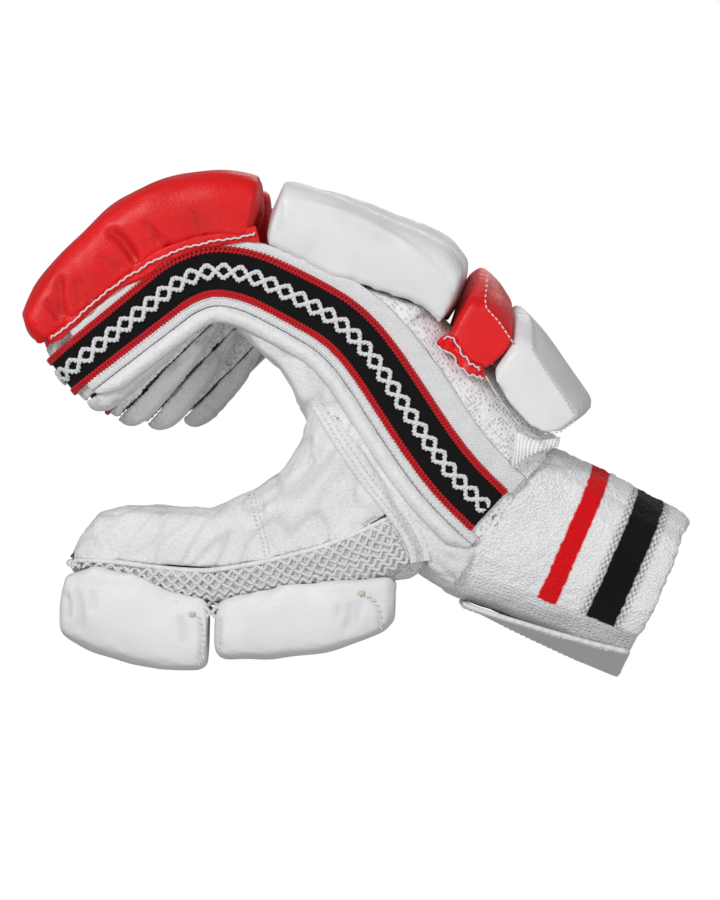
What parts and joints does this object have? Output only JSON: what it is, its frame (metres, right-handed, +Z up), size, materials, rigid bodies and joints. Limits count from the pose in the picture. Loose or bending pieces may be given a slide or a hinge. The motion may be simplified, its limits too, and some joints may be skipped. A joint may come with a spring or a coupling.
{
  "type": "cricket batting glove",
  "caption": "Curled padded batting glove with foam finger and knuckle pads, taped finger sides, netted thumb and a towelling cuff.",
  "frame": {"origin": "on the floor, under the middle of the bounding box", "axes": "+Z up, +X from the fingertips towards the cuff, -Y the index finger's side"},
  "size_m": [0.2536, 0.1076, 0.1881],
  "materials": {
    "leather": "pebbled, matte",
    "white_pad": "smooth, satin, over foam",
    "red_pad": "smooth, satin, over foam",
    "knit": "knitted, matte",
    "tape": "woven, matte",
    "towelling": "looped towelling",
    "strap": "smooth, satin"
  },
  "bodies": {
    "root": {"hand_back": "knit", "palm_leather": "leather", "index_back": "knit", "middle_back": "knit", "ring_back": "knit", "little_back": "knit", "index_leather": "leather", "middle_leather": "leather", "ring_leather": "leather", "little_leather": "leather", "index_tape": "tape", "middle_tape": "tape", "ring_tape": "tape", "little_tape": "tape", "index_side_roll": "leather", "little_side_roll": "leather", "index_pad": "white_pad", "middle_pad": "white_pad", "ring_pad": "white_pad", "little_pad": "white_pad", "index_tip_pad": "red_pad", "middle_tip_pad": "red_pad", "ring_tip_pad": "red_pad", "little_tip_pad": "red_pad", "back_pad": "white_pad", "knuckle_bar": "red_pad", "thumb_leather": "leather", "thumb_net": "knit", "thumb_tip_pad": "white_pad", "thumb_base_pad": "white_pad", "palm_piping": "leather", "wrist_cuff": "towelling", "wrist_strap": "strap"}
  },
  "joints": []
}
